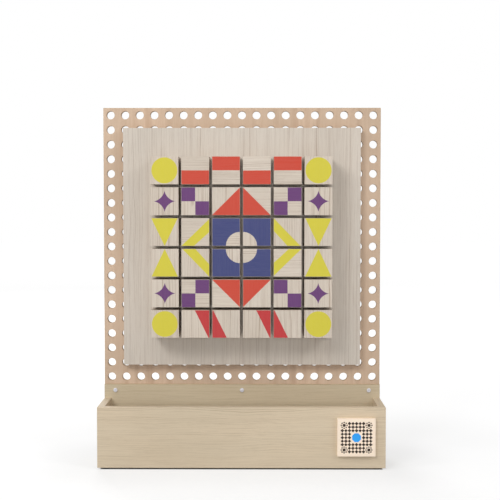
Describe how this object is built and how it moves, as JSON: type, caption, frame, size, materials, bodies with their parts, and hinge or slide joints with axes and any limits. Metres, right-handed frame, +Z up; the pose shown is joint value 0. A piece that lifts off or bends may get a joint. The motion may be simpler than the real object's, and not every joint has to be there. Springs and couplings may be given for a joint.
{
  "type": "pattern block mosaic stand",
  "caption": "Free-standing perforated wooden panel with a magnetic picture board of pull-off printed cubes, above an open storage bin along its foot.",
  "frame": {"origin": "middle of the outline, on the surface that the stand rests on", "axes": "+X to the right as seen from the front, +Y to the rear, +Z up; the front faces -Y"},
  "size_m": [0.6, 0.1377, 0.76],
  "materials": {
    "panel_plywood": "clear matt lacquer",
    "core_wood": "raw edge",
    "board_wood": "pale limed, matt",
    "block_wood": "printed, matt lacquer",
    "bin_wood": "clear matt lacquer",
    "back_plate_wood": "clear matt lacquer",
    "plate_wood": "printed, matt lacquer",
    "dowel_wood": "raw",
    "sheet_steel": "galvanised",
    "screw_steel": "zinc plated",
    "bush_plastic": "moulded",
    "pad_rubber": "matt"
  },
  "bodies": {
    "stand": {"perforated_panel": "panel_plywood", "board_core": "core_wood", "board_steel_sheet": "sheet_steel", "board_face": "board_wood", "board_bushes": "bush_plastic", "board_screws": "screw_steel", "bin_front": "bin_wood", "bin_side_left": "bin_wood", "bin_side_right": "bin_wood", "bin_floor": "bin_wood", "bin_back_plate": "back_plate_wood", "flange_screws": "screw_steel", "back_plate_screws": "screw_steel", "base_screws": "screw_steel", "front_dowels": "dowel_wood", "floor_dowels": "dowel_wood", "info_plate": "plate_wood", "info_plate_pins": "dowel_wood", "pad_front_left": "pad_rubber", "pad_front_right": "pad_rubber", "pad_rear_left": "pad_rubber", "pad_rear_right": "pad_rubber"},
    "block_r1c1": {"block_r1c1": "block_wood"},
    "block_r1c2": {"block_r1c2": "block_wood"},
    "block_r1c3": {"block_r1c3": "block_wood"},
    "block_r1c4": {"block_r1c4": "block_wood"},
    "block_r1c5": {"block_r1c5": "block_wood"},
    "block_r1c6": {"block_r1c6": "block_wood"},
    "block_r2c1": {"block_r2c1": "block_wood"},
    "block_r2c2": {"block_r2c2": "block_wood"},
    "block_r2c3": {"block_r2c3": "block_wood"},
    "block_r2c4": {"block_r2c4": "block_wood"},
    "block_r2c5": {"block_r2c5": "block_wood"},
    "block_r2c6": {"block_r2c6": "block_wood"},
    "block_r3c1": {"block_r3c1": "block_wood"},
    "block_r3c2": {"block_r3c2": "block_wood"},
    "block_r3c3": {"block_r3c3": "block_wood"},
    "block_r3c4": {"block_r3c4": "block_wood"},
    "block_r3c5": {"block_r3c5": "block_wood"},
    "block_r3c6": {"block_r3c6": "block_wood"},
    "block_r4c1": {"block_r4c1": "block_wood"},
    "block_r4c2": {"block_r4c2": "block_wood"},
    "block_r4c3": {"block_r4c3": "block_wood"},
    "block_r4c4": {"block_r4c4": "block_wood"},
    "block_r4c5": {"block_r4c5": "block_wood"},
    "block_r4c6": {"block_r4c6": "block_wood"},
    "block_r5c1": {"block_r5c1": "block_wood"},
    "block_r5c2": {"block_r5c2": "block_wood"},
    "block_r5c3": {"block_r5c3": "block_wood"},
    "block_r5c4": {"block_r5c4": "block_wood"},
    "block_r5c5": {"block_r5c5": "block_wood"},
    "block_r5c6": {"block_r5c6": "block_wood"},
    "block_r6c1": {"block_r6c1": "block_wood"},
    "block_r6c2": {"block_r6c2": "block_wood"},
    "block_r6c3": {"block_r6c3": "block_wood"},
    "block_r6c4": {"block_r6c4": "block_wood"},
    "block_r6c5": {"block_r6c5": "block_wood"},
    "block_r6c6": {"block_r6c6": "block_wood"}
  },
  "joints": [
    {"name": "block_r1c1_pull", "type": "slide", "parent": "stand", "child": "block_r1c1", "axis": [0, -1, 0], "range_m": [0, 0.12]},
    {"name": "block_r1c2_pull", "type": "slide", "parent": "stand", "child": "block_r1c2", "axis": [0, -1, 0], "range_m": [0, 0.12]},
    {"name": "block_r1c3_pull", "type": "slide", "parent": "stand", "child": "block_r1c3", "axis": [0, -1, 0], "range_m": [0, 0.12]},
    {"name": "block_r1c4_pull", "type": "slide", "parent": "stand", "child": "block_r1c4", "axis": [0, -1, 0], "range_m": [0, 0.12]},
    {"name": "block_r1c5_pull", "type": "slide", "parent": "stand", "child": "block_r1c5", "axis": [0, -1, 0], "range_m": [0, 0.12]},
    {"name": "block_r1c6_pull", "type": "slide", "parent": "stand", "child": "block_r1c6", "axis": [0, -1, 0], "range_m": [0, 0.12]},
    {"name": "block_r2c1_pull", "type": "slide", "parent": "stand", "child": "block_r2c1", "axis": [0, -1, 0], "range_m": [0, 0.12]},
    {"name": "block_r2c2_pull", "type": "slide", "parent": "stand", "child": "block_r2c2", "axis": [0, -1, 0], "range_m": [0, 0.12]},
    {"name": "block_r2c3_pull", "type": "slide", "parent": "stand", "child": "block_r2c3", "axis": [0, -1, 0], "range_m": [0, 0.12]},
    {"name": "block_r2c4_pull", "type": "slide", "parent": "stand", "child": "block_r2c4", "axis": [0, -1, 0], "range_m": [0, 0.12]},
    {"name": "block_r2c5_pull", "type": "slide", "parent": "stand", "child": "block_r2c5", "axis": [0, -1, 0], "range_m": [0, 0.12]},
    {"name": "block_r2c6_pull", "type": "slide", "parent": "stand", "child": "block_r2c6", "axis": [0, -1, 0], "range_m": [0, 0.12]},
    {"name": "block_r3c1_pull", "type": "slide", "parent": "stand", "child": "block_r3c1", "axis": [0, -1, 0], "range_m": [0, 0.12]},
    {"name": "block_r3c2_pull", "type": "slide", "parent": "stand", "child": "block_r3c2", "axis": [0, -1, 0], "range_m": [0, 0.12]},
    {"name": "block_r3c3_pull", "type": "slide", "parent": "stand", "child": "block_r3c3", "axis": [0, -1, 0], "range_m": [0, 0.12]},
    {"name": "block_r3c4_pull", "type": "slide", "parent": "stand", "child": "block_r3c4", "axis": [0, -1, 0], "range_m": [0, 0.12]},
    {"name": "block_r3c5_pull", "type": "slide", "parent": "stand", "child": "block_r3c5", "axis": [0, -1, 0], "range_m": [0, 0.12]},
    {"name": "block_r3c6_pull", "type": "slide", "parent": "stand", "child": "block_r3c6", "axis": [0, -1, 0], "range_m": [0, 0.12]},
    {"name": "block_r4c1_pull", "type": "slide", "parent": "stand", "child": "block_r4c1", "axis": [0, -1, 0], "range_m": [0, 0.12]},
    {"name": "block_r4c2_pull", "type": "slide", "parent": "stand", "child": "block_r4c2", "axis": [0, -1, 0], "range_m": [0, 0.12]},
    {"name": "block_r4c3_pull", "type": "slide", "parent": "stand", "child": "block_r4c3", "axis": [0, -1, 0], "range_m": [0, 0.12]},
    {"name": "block_r4c4_pull", "type": "slide", "parent": "stand", "child": "block_r4c4", "axis": [0, -1, 0], "range_m": [0, 0.12]},
    {"name": "block_r4c5_pull", "type": "slide", "parent": "stand", "child": "block_r4c5", "axis": [0, -1, 0], "range_m": [0, 0.12]},
    {"name": "block_r4c6_pull", "type": "slide", "parent": "stand", "child": "block_r4c6", "axis": [0, -1, 0], "range_m": [0, 0.12]},
    {"name": "block_r5c1_pull", "type": "slide", "parent": "stand", "child": "block_r5c1", "axis": [0, -1, 0], "range_m": [0, 0.12]},
    {"name": "block_r5c2_pull", "type": "slide", "parent": "stand", "child": "block_r5c2", "axis": [0, -1, 0], "range_m": [0, 0.12]},
    {"name": "block_r5c3_pull", "type": "slide", "parent": "stand", "child": "block_r5c3", "axis": [0, -1, 0], "range_m": [0, 0.12]},
    {"name": "block_r5c4_pull", "type": "slide", "parent": "stand", "child": "block_r5c4", "axis": [0, -1, 0], "range_m": [0, 0.12]},
    {"name": "block_r5c5_pull", "type": "slide", "parent": "stand", "child": "block_r5c5", "axis": [0, -1, 0], "range_m": [0, 0.12]},
    {"name": "block_r5c6_pull", "type": "slide", "parent": "stand", "child": "block_r5c6", "axis": [0, -1, 0], "range_m": [0, 0.12]},
    {"name": "block_r6c1_pull", "type": "slide", "parent": "stand", "child": "block_r6c1", "axis": [0, -1, 0], "range_m": [0, 0.12]},
    {"name": "block_r6c2_pull", "type": "slide", "parent": "stand", "child": "block_r6c2", "axis": [0, -1, 0], "range_m": [0, 0.12]},
    {"name": "block_r6c3_pull", "type": "slide", "parent": "stand", "child": "block_r6c3", "axis": [0, -1, 0], "range_m": [0, 0.12]},
    {"name": "block_r6c4_pull", "type": "slide", "parent": "stand", "child": "block_r6c4", "axis": [0, -1, 0], "range_m": [0, 0.12]},
    {"name": "block_r6c5_pull", "type": "slide", "parent": "stand", "child": "block_r6c5", "axis": [0, -1, 0], "range_m": [0, 0.12]},
    {"name": "block_r6c6_pull", "type": "slide", "parent": "stand", "child": "block_r6c6", "axis": [0, -1, 0], "range_m": [0, 0.12]}
  ]
}
